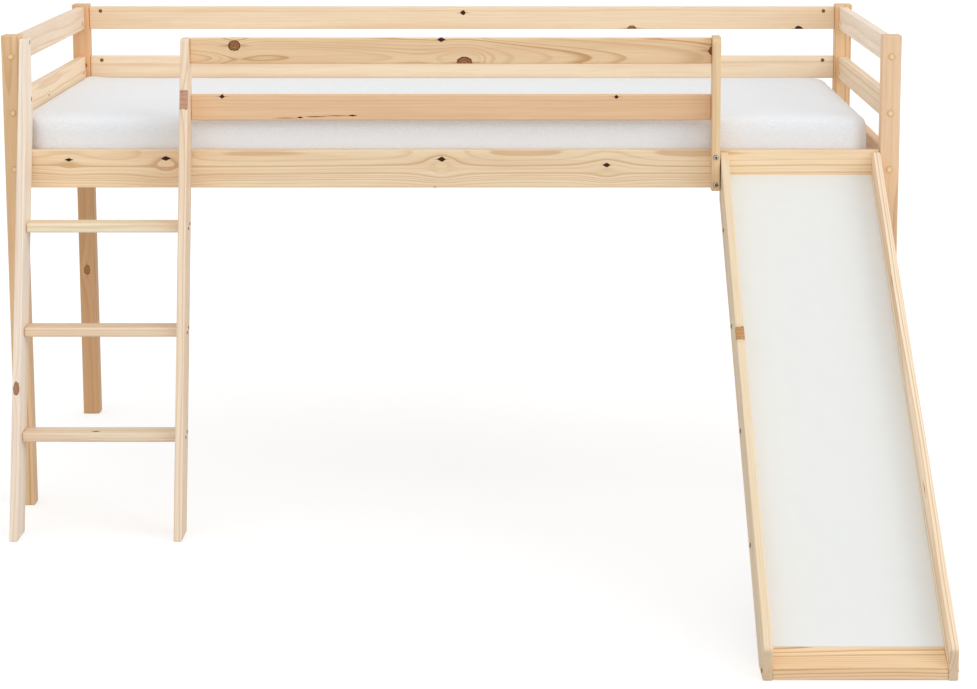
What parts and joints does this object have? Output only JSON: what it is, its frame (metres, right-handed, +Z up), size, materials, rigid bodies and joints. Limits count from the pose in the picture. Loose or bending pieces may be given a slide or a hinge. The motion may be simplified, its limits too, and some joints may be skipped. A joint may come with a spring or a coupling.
{
  "type": "bunk bed with slide",
  "caption": "Raised single bed in pine with a ladder, guard boards, a mattress on slats and a white slide.",
  "frame": {"origin": "on the floor, at the centre of the whole object's box seen from above", "axes": "+Z up; +X along the bed towards the slide's end; -Y the way the slide comes down, so +Y is the wall side"},
  "size_m": [2.1036, 2.2178, 1.13],
  "materials": {
    "pine": "satin",
    "white_panel": "satin",
    "mattress_fabric": "matte",
    "zinc_steel": "satin",
    "webbing": "matte"
  },
  "bodies": {
    "bed": {"back_board_middle": "pine", "back_board_upper": "pine", "end_board_middle_left": "pine", "end_board_middle_right": "pine", "end_board_upper_left": "pine", "end_board_upper_right": "pine", "end_rail_left": "pine", "end_rail_right": "pine", "guard_board_middle": "pine", "guard_board_upper": "pine", "guard_bolt_ladder_middle": "zinc_steel", "guard_bolt_ladder_upper": "zinc_steel", "guard_bolt_post_middle": "zinc_steel", "guard_bolt_post_upper": "zinc_steel", "guard_post": "pine", "guard_post_bolt_lower": "zinc_steel", "guard_post_bolt_upper": "zinc_steel", "ladder_bolt_middle": "zinc_steel", "ladder_bolt_upper": "zinc_steel", "ladder_side_left": "pine", "ladder_side_right": "pine", "post_back_left": "pine", "post_back_right": "pine", "post_front_left": "pine", "post_front_right": "pine", "rung_1": "pine", "rung_2": "pine", "rung_3": "pine", "side_rail_back": "pine", "side_rail_front": "pine", "slat_01": "pine", "slat_02": "pine", "slat_03": "pine", "slat_04": "pine", "slat_05": "pine", "slat_06": "pine", "slat_07": "pine", "slat_08": "pine", "slat_09": "pine", "slat_10": "pine", "slat_11": "pine", "slat_12": "pine", "slat_13": "pine", "slat_14": "pine", "slat_ledge_back": "pine", "slat_ledge_front": "pine", "slat_tape_back": "webbing", "slat_tape_front": "webbing", "slide_batten_1": "pine", "slide_batten_2": "pine", "slide_batten_3": "pine", "slide_batten_4": "pine", "slide_bolt_left": "zinc_steel", "slide_bolt_right": "zinc_steel", "slide_cheek_left": "pine", "slide_cheek_right": "pine", "slide_foot_board": "pine", "slide_panel": "white_panel"},
    "mattress": {"mattress": "mattress_fabric"}
  },
  "joints": [
    {"name": "mattress_lift", "type": "slide", "parent": "bed", "child": "mattress", "axis": [0, 0, 1], "range_m": [0, 0.4]}
  ]
}
